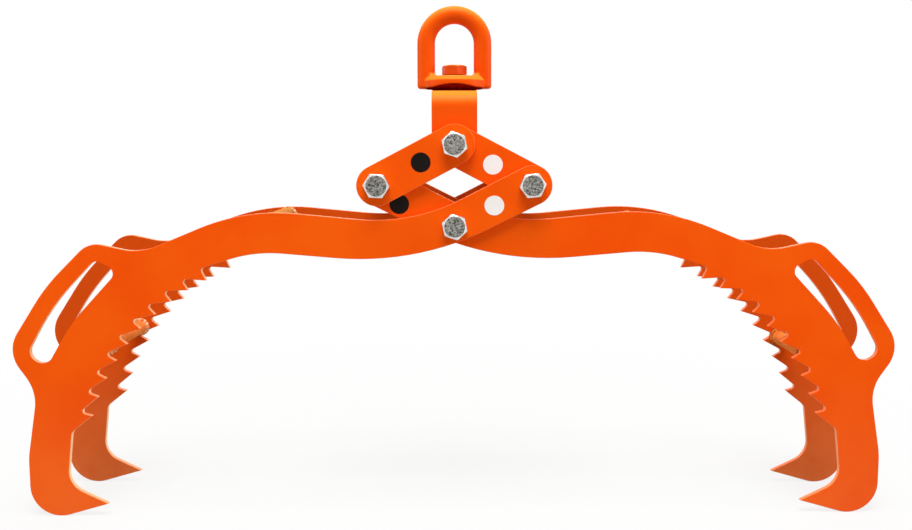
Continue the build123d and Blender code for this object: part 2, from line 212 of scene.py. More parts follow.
def powder_coat(name, deep, warm, plate=False):
    """Powder coat: two close oranges in slow clouds, orange peel in the bump, a satin skin.

    A plate gets painted shade on inner faces, painted light at the heels and painted highlights on cut
    faces. Other pieces get a painted highlight on top.
    """
    material, tree, output = new_material(name)
    coordinates = add(tree, "TexCoord").outputs
    where = coordinates["Object"]
    place = add(tree, "SeparateXYZ", links={"Vector": where}).outputs
    facing = add(tree, "SeparateXYZ", links={"Vector": coordinates["Normal"]}).outputs
    clouds = add(tree, "TexNoise", {"Scale": grains(CLOUD_MM), "Detail": 2.0}, {"Vector": where})
    share = add(tree, "MapRange", NOISE_BAND, {"Value": clouds.outputs["Fac"]}).outputs[0]
    shades = {"A": linear(deep), "B": linear(warm)}
    colour = add(tree, "Mix", shades, {"Factor": share}, data_type="RGBA").outputs["Result"]
    if plate:
        inner = inner_face_share(tree, place, facing)
        # Painted shade on inner faces, painted light at the heels, painted highlights on cut faces.
        layers = {
            COAT_PAINTED_SHADE: inner,
            COAT_PAINTED_HEEL_LIGHT: heel_light_share(tree, where, place, inner),
            COAT_PAINTED_EDGE_HIGHLIGHT: edge_highlight_share(tree, place, facing),
        }
    else:
        # A painted highlight on faces that look up.
        layers = {COAT_PAINTED_TOP_HIGHLIGHT: top_highlight_share(tree, facing)}
    for tint, share in layers.items():
        covers = {"A": colour, "Factor": share}
        layer = add(tree, "Mix", {"B": linear(tint)}, covers, data_type="RGBA")
        colour = layer.outputs["Result"]
    peel = add(tree, "TexNoise", {"Scale": grains(PEEL_MM), "Detail": 1.0}, {"Vector": where})
    skin = {"Strength": 0.10, "Distance": BUMP_DEPTH}
    bump = add(tree, "Bump", skin, {"Height": peel.outputs["Fac"]})
    gloss = add(tree, "TexNoise", {"Scale": grains(GLOSS_MM), "Detail": 3.0}, {"Vector": where})
    rough = add(tree, "MapRange", {"To Min": 0.28, "To Max": 0.40}, {"Value": gloss.outputs["Fac"]})
    feeds = {
        "Base Color": colour,
        "Roughness": rough.outputs["Result"],
        "Normal": bump.outputs["Normal"],
    }
    shader = add(tree, "BsdfPrincipled", {"Specular IOR Level": 0.04}, feeds)
    tree.links.new(shader.outputs["BSDF"], output.inputs["Surface"])
    return material


# Satin orange, a little darker than the plates' as painted shade, with a painted highlight on top:
# hanger, ring and the swivel's nut.
powder_orange = powder_coat("powder_coated_steel", "#EC4C04", "#F05608")
# A darker, browner copy of the same orange, painted shade: the swivel bolt.
bolt_orange = powder_coat("powder_coated_bolt", "#C84A12", "#CE5018")
# The brightest orange, with painted shade, painted light and painted highlights: arms and links.
plate_orange = powder_coat("powder_coated_cut_plate", "#F85204", "#FC5E08", plate=True)
print("materials:", powder_orange.name, bolt_orange.name, plate_orange.name)

# %% [markdown]
# The cross bars sit between the plates. Their tan is a painted highlight, paler on the upper bars than
# on the lower ones. On the weld beads the crests of the ripples are pale, a painted highlight, which an
# attribute of the bead's own points tells the shader. The beads of the right lower bar are darker,
# which is painted shade. The washer under the swivel head and the hub under the boss are dark red-brown
# over the paint, which is painted shade.

# %% Painted highlights and painted shade on bars, beads, washer and hub
CREST_BAND = {"From Min": 0.2, "From Max": 1.6}
BAR_PATCH_MM = 12.0
WELD_PATCH_MM = 2.5
SHADE_PATCH_MM = 6.0


def patchy_coat(name, light, dark, patch_mm, roughness, specular, crests=False):
    """Two shades in patches of noise, or on a bead from its hollows to the crests of its ripples."""
    material, tree, output = new_material(name)
    where = add(tree, "TexCoord").outputs["Object"]
    noise = add(tree, "TexNoise", {"Scale": grains(patch_mm), "Detail": 3.0}, {"Vector": where})
    patches = noise.outputs["Fac"]
    share = add(tree, "MapRange", NOISE_BAND, {"Value": patches}).outputs[0]
    if crests:
        crest = add(tree, "Attribute", attribute_name="crest").outputs["Fac"]
        share = add(tree, "Math", links={0: share, 1: crest}, operation="ADD").outputs[0]
        share = add(tree, "MapRange", CREST_BAND, {"Value": share}).outputs[0]
    shades = {"A": linear(dark), "B": linear(light)}
    colour = add(tree, "Mix", shades, {"Factor": share}, data_type="RGBA")
    bump = add(tree, "Bump", {"Strength": 0.15, "Distance": BUMP_DEPTH}, {"Height": patches})
    feeds = {"Base Color": colour.outputs["Result"], "Normal": bump.outputs["Normal"]}
    values = {"Roughness": roughness, "Specular IOR Level": specular}
    shader = add(tree, "BsdfPrincipled", values, feeds)
    tree.links.new(shader.outputs["BSDF"], output.inputs["Surface"])
    return material


# Tan and matt, a painted highlight: the upper bars.
upper_bar_highlight = patchy_coat("upper_bar_painted_highlight", "#CC8A46", "#BC7636", BAR_PATCH_MM, 0.45, 0.0)
# A soft orange, a weaker painted highlight: the lower bars.
lower_bar_highlight = patchy_coat("lower_bar_painted_highlight", "#EA8240", "#DC7230", BAR_PATCH_MM, 0.45, 0.0)
# Cream crests on orange, painted highlights: most weld beads.
weld_crest_highlight = patchy_coat(
    "weld_painted_crest_highlight", "#F9DCA8", "#CF5A1C", WELD_PATCH_MM, 0.35, 0.10, crests=True
)
# Brown-orange with little contrast, painted shade: the beads of the right lower bar.
weld_painted_shade = patchy_coat(
    "weld_bead_painted_shade", "#CC7A36", "#AC4E16", WELD_PATCH_MM, 0.45, 0.0, crests=True
)
# Dark red-brown without shine, painted shade: washer and hub.
deep_shade_paint = patchy_coat("painted_deep_shade", "#861408", "#640C05", SHADE_PATCH_MM, 0.60, 0.0)
for coat in (upper_bar_highlight, lower_bar_highlight, weld_crest_highlight, weld_painted_shade, deep_shade_paint):
    print("material:", coat.name)

# %% [markdown]
# Bolts, nuts and spacer tubes are zinc plated steel. A head's struck face is
# dull, grey and mottled, its turned chamfer is bright, and the drawn tubes and
# the nuts lie between the two. The three finishes come from one function with
# other colours and roughness.

# %% Zinc plated steel


def zinc_plate(name, light, dark, grain_mm, rough_low, rough_high, depth):
    """Zinc plate: a metal with mottling in its colour, its roughness and its bump."""
    material, tree, output = new_material(name)
    where = add(tree, "TexCoord").outputs["Object"]
    noise = add(tree, "TexNoise", {"Scale": grains(grain_mm), "Detail": 3.0}, {"Vector": where})
    mottle = noise.outputs["Fac"]
    share = add(tree, "MapRange", NOISE_BAND, {"Value": mottle}).outputs[0]
    shades = {"A": linear(dark), "B": linear(light)}
    colour = add(tree, "Mix", shades, {"Factor": share}, data_type="RGBA")
    rough = add(tree, "MapRange", {"To Min": rough_low, "To Max": rough_high}, {"Value": mottle})
    bump = add(tree, "Bump", {"Strength": depth, "Distance": BUMP_DEPTH}, {"Height": mottle})
    feeds = {
        "Base Color": colour.outputs["Result"],
        "Roughness": rough.outputs["Result"],
        "Normal": bump.outputs["Normal"],
    }
    shader = add(tree, "BsdfPrincipled", {"Metallic": 1.0}, feeds)
    tree.links.new(shader.outputs["BSDF"], output.inputs["Surface"])
    return material


# Speckled dark and light grey: the heads' faces and the shanks.
zinc_dull = zinc_plate("zinc_plated_steel_struck", "#A8A69F", "#3B3936", 1.6, 0.42, 0.60, 0.40)
# Almost white, with soft reflections: the heads' chamfers and sides.
zinc_bright = zinc_plate("zinc_plated_steel_turned", "#EDEDEA", "#CBCAC4", 3.0, 0.22, 0.34, 0.10)
# Even mid grey: nuts and tubes.
zinc_drawn = zinc_plate("zinc_plated_steel_drawn", "#B2B1AB", "#94938D", 4.0, 0.36, 0.48, 0.08)
print("materials:", zinc_dull.name, zinc_bright.name, zinc_drawn.name)

# %% [markdown]
# The lock rings in the nuts are pale nylon. The round match marks on links
# and arms are cut from black and white vinyl. All three are matt plastics
# with a fine grain, drawn a little coarse so that it shows.

# %% Nylon and vinyl


def matt_plastic(name, light, dark, grain_mm, roughness):
    """Matt plastic: two close shades in fine grain, which also roughens the surface."""
    material, tree, output = new_material(name)
    where = add(tree, "TexCoord").outputs["Object"]
    noise = add(tree, "TexNoise", {"Scale": grains(grain_mm), "Detail": 2.0}, {"Vector": where})
    grain = noise.outputs["Fac"]
    shades = {"A": linear(dark), "B": linear(light)}
    colour = add(tree, "Mix", shades, {"Factor": grain}, data_type="RGBA")
    bump = add(tree, "Bump", {"Strength": 0.1, "Distance": BUMP_DEPTH}, {"Height": grain})
    feeds = {"Base Color": colour.outputs["Result"], "Normal": bump.outputs["Normal"]}
    values = {"Roughness": roughness, "Specular IOR Level": 0.1}
    shader = add(tree, "BsdfPrincipled", values, feeds)
    tree.links.new(shader.outputs["BSDF"], output.inputs["Surface"])
    return material


# Milky white: the nuts' lock rings.
nylon = matt_plastic("nylon_lock_ring", "#E4E2DA", "#D2CFC4", 2.0, 0.45)
# A warm black and a warm white with hardly any shine: the marks.
black_vinyl = matt_plastic("black_vinyl", "#170C07", "#0E0705", 1.5, 0.55)
white_vinyl = matt_plastic("white_vinyl", "#FFF9F6", "#F6EFEC", 1.5, 0.50)
print("materials:", nylon.name, black_vinyl.name, white_vinyl.name)

# %% [markdown]
# Each CAD node names a material slot in the record, and each slot has one finish here. Plates, bars and
# the washer have a material of their own within the orange slot, which carries painted light and shade.
# It is found by the ending of the node's name, and the last ending that fits counts. Pieces made below
# take the place of some nodes.

# %% Finishes on the CAD nodes
SLOT_MATERIALS = {
    "orange_paint": powder_orange,
    "zinc_steel": zinc_drawn,
    "nylon": nylon,
    "black_mark": black_vinyl,
    "white_mark": white_vinyl,
}
NODE_MATERIALS = {
    "_arm": plate_orange,
    "_link": plate_orange,
    "_cross_bar": upper_bar_highlight,
    "_lower_cross_bar": lower_bar_highlight,
    "_washer": deep_shade_paint,
}
for entry in frame["record"]["subparts"]:
    finish = SLOT_MATERIALS[entry["material_slot"]]
    for ending, material in NODE_MATERIALS.items():
        finish = material if entry["node"].endswith(ending) else finish
    mesh = nodes[entry["node"]].data
    mesh.materials.clear()
    mesh.materials.append(finish)

# %% [markdown]
# New pieces are grids of points: a profile goes round, row after row along a
# path. Whole arrays give every point at once, and the faces follow from the
# point numbers. A grid either closes on itself as a ring or ends in two poles.

# %% Shells from grids


def grid_shell(points, ring=False):
    """Points and faces of one closed shell from a grid of points in mm, with shape (rows, columns, 3).

    Face (i, j) joins the points (i, j), (i, j + 1), (i + 1, j + 1) and (i + 1, j), and the
    columns close round. As a ring, the last row joins the first one. Otherwise the first and
    the last row each close on a pole at their own middle. The third result is each face's row.
    """
    rows, columns = points.shape[:2]
    number = np.arange(rows * columns).reshape(rows, columns)
    below = np.roll(number, -1, axis=0) if ring else number[1:]
    above = number if ring else number[:-1]
    quads = np.stack([above, np.roll(above, -1, 1), np.roll(below, -1, 1), below], axis=2)
    faces = quads.reshape(-1, 4).tolist()
    places = points.reshape(-1, 3)
    face_rows = np.repeat(np.arange(len(above)), columns)
    if not ring:
        poles = np.stack([points[0].mean(axis=0), points[-1].mean(axis=0)])
        for pole, edge in ((rows * columns, number[0]), (rows * columns + 1, number[-1])):
            fan = np.stack([edge, np.roll(edge, -1), np.full(columns, pole)], axis=1)
            faces += fan.tolist()
        places = np.concatenate([places, poles])
        ends = [np.zeros(columns, int), np.full(columns, rows - 2)]
        face_rows = np.concatenate([face_rows, *ends])
    return places, faces, face_rows


print("a ring of 4 by 6 points has", len(grid_shell(np.zeros((4, 6, 3)), ring=True)[1]), "faces")

# %% [markdown]
# A piece is one object at the origin, with its place in its mesh. Its normals
# are turned outwards by Blender's own tool, whichever way the grid ran. Smooth
# shading hides the facets, and edges above a set angle stay sharp.

# %% Pieces from shells
SHARP_ANGLE = 35.0
MACHINED_ANGLE = 25.0
WELD_ANGLE = 60.0


def shell_piece(name, shells, materials, sharp=SHARP_ANGLE):
    """An object at the origin from shells of points and faces, with its faces pointing outwards."""
    places = np.concatenate([points for points, _, _ in shells])
    faces = []
    first = 0
    for points, shell_faces, _ in shells:
        faces += [[first + corner for corner in face] for face in shell_faces]
        first += len(points)
    mesh = bpy.data.meshes.new(name)
    mesh.from_pydata((places * MM).tolist(), [], faces)
    for material in materials:
        mesh.materials.append(material)
    work = bmesh.new()
    work.from_mesh(mesh)
    bmesh.ops.recalc_face_normals(work, faces=work.faces)
    work.to_mesh(mesh)
    work.free()
    mesh.shade_smooth()
    mesh.set_sharp_from_angle(angle=math.radians(sharp))
    piece = bpy.data.objects.new(name, mesh)
    bpy.context.scene.collection.objects.link(piece)
    return piece


def grid_piece(name, points, materials, ring=False, row_materials=None, sharp=SHARP_ANGLE):
    """A piece of one shell, where each row of faces may have its own material number."""
    shell = grid_shell(points, ring)
    piece = shell_piece(name, [shell], materials, sharp)
    if row_materials is not None:
        piece.data.polygons.foreach_set("material_index", np.asarray(row_materials)[shell[2]])
    return piece


print("edges stay sharp above", SHARP_ANGLE, "degrees")

# %% [markdown]
# Each new piece rides on a body of the frame, so that it moves with its joint, and hides the CAD nodes
# that it stands for. Its size comes from the box of the node itself, so the two can't drift apart.

# %% Joining pieces to the frame


def put_on(piece, body, slot, *replaced):
    """The piece rides on a body and stands for CAD nodes, which it hides. The slot is not used."""
    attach(piece, body)
    if replaced:
        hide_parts(*replaced)


def node_box(node):
    """Lowest and highest corner of a CAD node, in mm."""
    low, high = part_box(node)
    return np.array(low) / MM, np.array(high) / MM


low, high = node_box("left_upper_cross_bar")
print("a cross bar measures", np.round(high - low, 1).tolist(), "mm")

# %% [markdown]
# The cross bars are welded between the plates. A hand-laid bead runs round
# each bar end, and its uneven ripples catch the light. It could be sculpted,
# but a fillet profile swept round the bar, with a leg that swells from ripple
# to ripple, gives the same look from one formula.

# %% Weld beads
WELD_LEG = 2.8
WELD_RIPPLES = 15
WELD_SINK = 1.0
WELD_BULGE = 0.8
WELD_ANGLES = 110
WELD_STEPS = 9
UPPER_THINNING = 0.72


def weld_bead(name, bar, end, phase, thinning, coat):
    """Fillet bead round one end of a bar along Y, against the plate there.

    At the angle a round the bar, the ripple and the leg of the bead are
        ripple = cos(WELD_RIPPLES a + 1.8 sin(2 a + phase) + 1.2 sin(5 a - phase))
        leg = WELD_LEG (1 + 0.05 ripple + 0.07 sin(3 a + phase)) (1 - thinning max(sin a, 0))
    and the section from the bar (s = 0) to the plate (s = pi / 2) is the bulged corner
        out = leg sin(s)^WELD_BULGE,  along = leg cos(s)^WELD_BULGE
    It closes inside the bar and the plate. End is -1 at the front and 1 at the rear. The
    attribute crest is up to 1 on the ripples' tops and 0 in their hollows:
        crest = (1 + ripple) / 2 (0.6 + 0.4 sin(4 a + 2 phase))
    """
    low, high = node_box(bar)
    middle = (low + high) / 2
    bar_r = (high[0] - low[0]) / 2
    end_y = high[1] if end > 0 else low[1]
    a = np.linspace(0, 2 * np.pi, WELD_ANGLES, endpoint=False)[:, None]
    ripple = np.cos(WELD_RIPPLES * a + 1.8 * np.sin(2 * a + phase) + 1.2 * np.sin(5 * a - phase))
    swell = 1 + 0.05 * ripple + 0.07 * np.sin(3 * a + phase)
    leg = WELD_LEG * swell * (1 - thinning * np.maximum(np.sin(a), 0))
    s = np.linspace(0, np.pi / 2, WELD_STEPS)[None, :]
    inside = -WELD_SINK * np.ones_like(leg)
    out = np.concatenate([inside, leg * np.sin(s) ** WELD_BULGE, leg, inside], axis=1)
    along = np.concatenate([leg, leg * np.cos(s) ** WELD_BULGE, inside, inside], axis=1)
    radius = bar_r + out
    x, z = middle[0] + radius * np.cos(a), middle[2] + radius * np.sin(a)
    points = np.stack([x, end_y - end * along, z], axis=2)
    bead = grid_piece(name, points, [coat], ring=True, sharp=WELD_ANGLE)
    # The shader paints the crests pale with this attribute, a painted highlight.
    crest = (1 + ripple) / 2 * (0.6 + 0.4 * np.sin(4 * a + 2 * phase))
    shade = bead.data.attributes.new("crest", "FLOAT", "POINT")
    shade.data.foreach_set("value", (crest * np.ones_like(radius)).ravel())
    return bead


for side in ("left", "right"):
    for height, thinning in (("upper", UPPER_THINNING), ("lower", 0.0)):
        bar = f"{side}_{height}_cross_bar"
        # The right lower bar's beads get painted shade, the others painted highlights on their crests.
        coat = weld_painted_shade if bar == "right_lower_cross_bar" else weld_crest_highlight
        for end, place in ((-1, "front"), (1, "rear")):
            # Any phase will do. It differs from front to rear and from left to right.
            phase = 1.3 * end + len(bar)
            bead = weld_bead(f"{side}_{height}_{place}_weld", bar, end, phase, thinning, coat)
            put_on(bead, f"{side}_claw", "orange_paint")
print("weld beads: 8, leg", WELD_LEG, "mm")

# %% [markdown]
# The bolts are M16 with a 2 mm thread. The head is a hexagon whose corners a
# 30 degree chamfer takes off, so every ring of points is the hexagon's own
# radius by angle, and the chamfer lowers it where the radius passes the flat
# face. The thread is a cosine wave that climbs one pitch in each turn. Steps of
# a few tenths of a millimetre break the edges, as on a real bolt.

# %% The form of a bolt
BOLT_R = 8.0
HEX_AF = 24.0
HEAD_H = 10.0
FACE_R = HEX_AF / 2 - 1.0
CHAMFER_SLOPE = math.tan(math.radians(30))
CORNER_R = 13.65
EDGE_BREAK = 0.3
RIM_BREAK = 0.2
THREAD_PITCH = 2.0
THREAD_DEPTH = 1.0
THREAD_LENGTH = 22.0
THREAD_STEP = 0.25
END_CHAMFER = 1.2
COLUMNS = 72


def hexagon_radius(a):
    """Distance from the axis to a hexagon by angle, corners at 0, 60, ... degrees slightly rounded.

    It is HEX_AF / 2 / cos(b), with b the angle from the nearest flat's middle, and at most CORNER_R.
    """
    flat = HEX_AF / 2 / np.cos(np.mod(a, np.pi / 3) - np.pi / 6)
    return np.minimum(flat, CORNER_R)


def bolt_rows(length):
    """Angles, and radius and height of each ring of a bolt, head up, with its seat at height 0.

    On the chamfer the height is HEAD_H - (r - FACE_R) tan 30. On the thread the radius is
        r = BOLT_R - THREAD_DEPTH (1 + cos(2 pi (h / pitch) + a)) / 2
    and at the end it is at most BOLT_R - END_CHAMFER plus the distance from the end.
    """
    a = np.linspace(0, 2 * np.pi, COLUMNS, endpoint=False)
    hexagon = hexagon_radius(a)
    drop = (hexagon - FACE_R) * CHAMFER_SLOPE
    even = np.ones(COLUMNS)
    head = [
        (0.5 * FACE_R * even, HEAD_H * even),
        ((FACE_R - 0.4) * even, HEAD_H * even),
        ((FACE_R + 0.1) * even, (HEAD_H - 0.1) * even),
        (hexagon - RIM_BREAK, HEAD_H - drop + RIM_BREAK * CHAMFER_SLOPE),
        (hexagon, HEAD_H - drop - EDGE_BREAK),
        (hexagon, EDGE_BREAK * even),
        (hexagon - EDGE_BREAK, 0.0 * even),
        ((BOLT_R + RIM_BREAK) * even, 0.0 * even),
        (BOLT_R * even, -EDGE_BREAK * even),
    ]
    steps = np.arange(0, THREAD_LENGTH + 0.01, THREAD_STEP)[:, None]
    thread_h = THREAD_LENGTH - length - steps + 0.0 * a
    wave = BOLT_R - THREAD_DEPTH * (1 + np.cos(2 * np.pi * thread_h / THREAD_PITCH + a)) / 2
    wave = np.minimum(wave, BOLT_R - END_CHAMFER + (thread_h + length))
    radius = np.concatenate([np.array([r for r, h in head]), wave])
    height = np.concatenate([np.array([h for r, h in head]), thread_h])
    return a, radius, height


print("hexagon:", HEX_AF, "mm over the flats and", 2 * CORNER_R, "mm over the corners")

# %% [markdown]
# Four bolts hold the pivots, heads to the front. Each head stopped at its own
# angle when it was tightened. The face and the shank are dull zinc, and the
# chamfer and the sides are bright.

# %% Pivot bolts
BRIGHT_ROWS = slice(1, 6)
HEAD_TURNS = {"top": 42.0, "left": -3.0, "right": 6.0, "centre": 42.0}
PIVOT_BODIES = {
    "top": "top_pin",
    "left": "left_links",
    "right": "right_links",
    "centre": "left_claw",
}

for place, turn in HEAD_TURNS.items():
    low, high = node_box(f"{place}_pivot_bolt")
    seat_y = low[1] + HEAD_H
    a, radius, height = bolt_rows(high[1] - seat_y)
    angle = a + math.radians(turn)
    x, z = (low[0] + high[0]) / 2, (low[2] + high[2]) / 2
    rings = [x + radius * np.cos(angle), seat_y - height, z + radius * np.sin(angle)]
    points = np.stack(rings, axis=2)
    finish = np.zeros(len(points), int)
    finish[BRIGHT_ROWS] = 1
    zincs = [zinc_dull, zinc_bright]
    bolt = grid_piece(
        f"{place}_hex_bolt", points, zincs, row_materials=finish, sharp=MACHINED_ANGLE
    )
    put_on(bolt, PIVOT_BODIES[place], "zinc_steel", f"{place}_pivot_bolt")
print("pivot bolts:", len(HEAD_TURNS), "with", points.shape[0] * points.shape[1], "points each")

# %% [markdown]
# The swivel bolt is the same form, standing head up in the ring and painted
# over with it.

# %% Swivel bolt
SWIVEL_TURN = -15.0
low, high = node_box("swivel_bolt")
seat_z = high[2] - HEAD_H
a, radius, height = bolt_rows(seat_z - low[2])
angle = a + math.radians(SWIVEL_TURN)
points = np.stack([radius * np.cos(angle), radius * np.sin(angle), seat_z + height], axis=2)
# The bolt's darker, browner orange is painted shade.
swivel_bolt = grid_piece("swivel_hex_bolt", points, [bolt_orange], sharp=MACHINED_ANGLE)
put_on(swivel_bolt, "hanger", "orange_paint", "swivel_bolt")
print("swivel bolt head from", round(seat_z, 2), "to", round(high[2], 2), "mm")

# %% [markdown]
# A lock nut is a hexagon with both ends chamfered and a rolled collar that
# grips the nylon ring. Its rings of points close through the bore.

# %% Lock nuts
NUT_HEX_H = 13.0
NUT_H = 16.0
COLLAR_R = 11.45
RING_SEAT_R = 10.45
BORE_R = 8.05
BORE_CHAMFER = 0.9


def nut_rows():
    """Angles, and radius and height of each ring of a lock nut on height 0, from the bore out and back.

    The hexagon's ends are lowered by (r - FACE_R) tan 30 at both faces, as the chamfer cone does.
    """
    a = np.linspace(0, 2 * np.pi, COLUMNS, endpoint=False)
    hexagon = hexagon_radius(a)
    drop = (hexagon - FACE_R) * CHAMFER_SLOPE
    even = np.ones(COLUMNS)
    collar_foot = NUT_HEX_H - (COLLAR_R - FACE_R) * CHAMFER_SLOPE
    rings = [
        (BORE_R * even, BORE_CHAMFER * even),
        ((BORE_R + BORE_CHAMFER) * even, 0.0 * even),
        (FACE_R * even, 0.0 * even),
        (hexagon - RIM_BREAK, drop - RIM_BREAK * CHAMFER_SLOPE),
        (hexagon, drop + EDGE_BREAK),
        (hexagon, NUT_HEX_H - drop - EDGE_BREAK),
        (hexagon - RIM_BREAK, NUT_HEX_H - drop + RIM_BREAK * CHAMFER_SLOPE),
        ((COLLAR_R + 0.15) * even, collar_foot * even),
        (COLLAR_R * even, (NUT_HEX_H + 0.2) * even),
        (COLLAR_R * even, (NUT_H - 0.9) * even),
        ((COLLAR_R - 0.35) * even, (NUT_H - 0.2) * even),
        ((COLLAR_R - 0.7) * even, NUT_H * even),
        (RING_SEAT_R * even, (NUT_H - 0.15) * even),
        (RING_SEAT_R * even, (NUT_HEX_H + 0.05) * even),
        (BORE_R * even, NUT_HEX_H * even),
    ]
    return a, np.array([r for r, h in rings]), np.array([h for r, h in rings])


a, radius, height = nut_rows()
for place, turn in HEAD_TURNS.items():
    low, high = node_box(f"{place}_lock_nut")
    angle = a - math.radians(turn)
    x, z = (low[0] + high[0]) / 2, (low[2] + high[2]) / 2
    rings = [x + radius * np.cos(angle), low[1] + height, z + radius * np.sin(angle)]
    points = np.stack(rings, axis=2)
    nut = grid_piece(
        f"{place}_nylon_nut", points, [zinc_drawn], ring=True, sharp=MACHINED_ANGLE
    )
    put_on(nut, PIVOT_BODIES[place], "zinc_steel", f"{place}_lock_nut")
low, high = node_box("swivel_lock_nut")
points = np.stack([radius * np.cos(a), radius * np.sin(a), high[2] - height], axis=2)
swivel_nut = grid_piece(
    "swivel_nylon_nut", points, [powder_orange], ring=True, sharp=MACHINED_ANGLE
)
put_on(swivel_nut, "hanger", "orange_paint", "swivel_lock_nut")
print("lock nuts:", len(HEAD_TURNS) + 1)

# %% [markdown]
# The swivel ring is a forging: a bowed round bar whose legs flow into a thick
# round boss. Each form is a closed shell from its own formula, and the shells
# overlap. The bar comes first. Its sizes come from the CAD ring, and its feet
# are rounded where they stand out below the boss.

# %% The ring's bar
RING_BAR_R = 9.5
RING_BASE_H = 13.0
RING_FOOT_R = 3.0
HUB_H = 3.0
BAR_COLUMNS = 48
BEND_STEPS = 64

low, high = node_box("swivel_ring")
ring_base = low[2] + HUB_H
ring_top = ring_base + RING_BASE_H
boss_r = (high[1] - low[1]) / 2
bow_r = (high[0] - low[0]) / 2 - RING_BAR_R
bow_z = high[2] - bow_r - RING_BAR_R


def ring_bow():
    """Circles of radius r square to a path up one leg, round the bow and down the other leg.

    At the distance d from either foot, with f = RING_FOOT_R,
        r = RING_BAR_R - f + sqrt(f^2 - (f - d)^2)
    for d up to f, and then r = RING_BAR_R.
    """
    rounding = RING_FOOT_R * (1 - np.cos(np.linspace(0, np.pi / 2, 6)))
    leg = np.concatenate([rounding, np.linspace(RING_FOOT_R, bow_z - ring_base, 12)[1:]])
    bend = np.linspace(np.pi, 0, BEND_STEPS)[1:-1]
    x = np.concatenate([-bow_r + 0 * leg, bow_r * np.cos(bend), bow_r + 0 * leg])
    z = np.concatenate([ring_base + leg, bow_z + bow_r * np.sin(bend), ring_base + leg[::-1]])
    tilt = np.concatenate([np.pi + 0 * leg, bend, 0 * leg])
    distance = np.concatenate([leg, RING_FOOT_R + 0 * bend, leg[::-1]])
    short = np.maximum(RING_FOOT_R - distance, 0)
    r = RING_BAR_R - RING_FOOT_R + np.sqrt(RING_FOOT_R ** 2 - short ** 2)
    a = np.linspace(0, 2 * np.pi, BAR_COLUMNS, endpoint=False)[None, :]
    x, z, tilt, r = (column[:, None] for column in (x, z, tilt, r))
    out = r * np.cos(a)
    path = [x + out * np.cos(tilt), r * np.sin(a), z + out * np.sin(tilt)]
    return grid_shell(np.stack(path, axis=2))


bow = ring_bow()
print("ring bar:", len(bow[0]), "points, bow radius", round(bow_r, 2), "mm")

# %% [markdown]
# The boss is turned about the swivel's axis, with a bevel at both rims. The
# lower bevel fades out under the legs, where the foot of the bar stands on it.
# Below it a hub turns on the hanger, and a thin film runs from the hub over the bevel. Hub and film are
# dark red-brown, which is painted shade. They are a shell of their own, because they keep this dark
# colour.

# %% Boss and hub
HUB_R = 23.5
SHADE_FILM = 0.3
SWIVEL_BORE_R = 8.08
BOSS_BEVEL = 4.5
BOSS_UNDER = 6.0
BOSS_UNDER_H = 4.5
BOSS_ANGLES = 96
HUB_BREAK = 0.4

around = np.linspace(0, 2 * np.pi, BOSS_ANGLES, endpoint=False)[:, None]
across = np.clip(boss_r * np.cos(around) / HUB_R, -1, 1)
under_h = BOSS_UNDER_H * (1 - 0.8 * across ** 2)
under_r = boss_r - BOSS_UNDER


def turned_ring(profile):
    """A closed profile turned once about the swivel axis.

    Each of its points is a radius and a height over the ring's base. Either may vary with the angle.
    """
    radius, height = (np.hstack([value + 0 * around for value in row]) for row in zip(*profile))
    x, y = radius * np.cos(around), radius * np.sin(around)
    return grid_shell(np.stack([x, y, ring_base + height], axis=2), ring=True)


def ring_boss():
    """The boss: a thick washer with a bevel at both rims.

    The lower bevel is BOSS_UNDER_H (1 - 0.8 (x / HUB_R)^2) high, so it fades out under the legs.
    """
    under = [(SWIVEL_BORE_R, 0.0), (under_r, 0.0), (boss_r, under_h)]
    rim = [(boss_r, RING_BASE_H - BOSS_BEVEL), (boss_r - BOSS_BEVEL, RING_BASE_H)]
    return turned_ring(under + rim + [(SWIVEL_BORE_R, RING_BASE_H)])


def hub_and_shade_film():
    """The hub below the boss, and a dark film of painted shade over the boss's lower bevel.

    The film stands SHADE_FILM out of the bevel, and its back lies 1 mm inside the boss.
    """
    foot = [(SWIVEL_BORE_R, -HUB_H), (HUB_R - HUB_BREAK, -HUB_H), (HUB_R, HUB_BREAK - HUB_H)]
    film = [
        (HUB_R, -SHADE_FILM),
        (under_r, -SHADE_FILM),
        (boss_r - 0.2, under_h - 2 * SHADE_FILM),
    ]
    back = [(under_r, 1.0), (SWIVEL_BORE_R, 1.0)]
    return turned_ring(foot + film + back)


boss = ring_boss()
hub = hub_and_shade_film()
print("boss:", len(boss[0]), "points, radius", round(boss_r, 2), "mm; hub:", len(hub[0]), "points")

# %% [markdown]
# Where a leg meets the boss, a forging has a sloped foot, so that the metal
# can leave the die. It is a cone round the leg that ends at the boss's rim.

# %% Feet of the legs
SKIRT = 8.0
SKIRT_COLUMNS = 64


def leg_skirt(side):
    """Sloped foot of a leg: at the height h over the bevel, r = RING_BAR_R + SKIRT - h.

    The radius also ends where the direction from the leg leaves the bevel, which narrows by h too.
    The skirt goes on down into the boss.
    """
    a = np.linspace(0, 2 * np.pi, SKIRT_COLUMNS, endpoint=False)[None, :]
    h = np.linspace(0, SKIRT + 1.0, 10)[:, None]
    edge = boss_r - h
    chord = np.sqrt(np.maximum(edge ** 2 - (bow_r * np.sin(a)) ** 2, 0))
    reach = -side * bow_r * np.cos(a) + chord
    r = np.minimum(RING_BAR_R + SKIRT - h, np.maximum(reach, 1.0))
    rows_r = np.concatenate([r[:1], r])
    rows_z = ring_top - BOSS_BEVEL + np.concatenate([[[-BOSS_BEVEL]], h])
    x = side * bow_r + rows_r * np.cos(a)
    return grid_shell(np.stack([x, rows_r * np.sin(a), rows_z + 0 * x], axis=2))


skirts = [leg_skirt(-1), leg_skirt(1)]
print("feet:", len(skirts), "with", len(skirts[0][0]), "points each")

